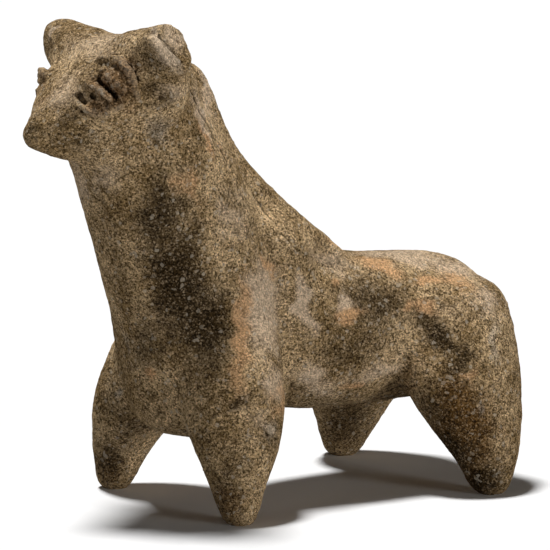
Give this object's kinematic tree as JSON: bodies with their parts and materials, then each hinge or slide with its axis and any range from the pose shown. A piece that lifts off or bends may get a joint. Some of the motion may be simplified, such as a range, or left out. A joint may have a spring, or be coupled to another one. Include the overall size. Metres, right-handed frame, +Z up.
{
  "type": "bull figurine",
  "caption": "Standing hand-modelled clay bull with short broken horns, pressed eye strips, a mane strip and conical legs.",
  "frame": {"origin": "on the floor under the middle of the bull", "axes": "+Z up, the bull looks along -Y, and its left side is +X"},
  "size_m": [0.074, 0.1306, 0.1215],
  "materials": {
    "fired_clay": "unglazed fired clay, gritty and matt, mottled brown with grey, black and orange firing clouds",
    "eye_clay": "unglazed fired clay, rough and matt, a redder brown"
  },
  "bodies": {
    "root": {"neck": "fired_clay", "trunk": "fired_clay", "head": "fired_clay", "mane": "fired_clay", "tail": "fired_clay", "left_horn": "fired_clay", "left_upper_lid": "eye_clay", "left_lower_lid": "eye_clay", "left_foreleg": "fired_clay", "left_hindleg": "fired_clay", "right_horn": "fired_clay", "right_upper_lid": "eye_clay", "right_lower_lid": "eye_clay", "right_foreleg": "fired_clay", "right_hindleg": "fired_clay"}
  },
  "joints": []
}
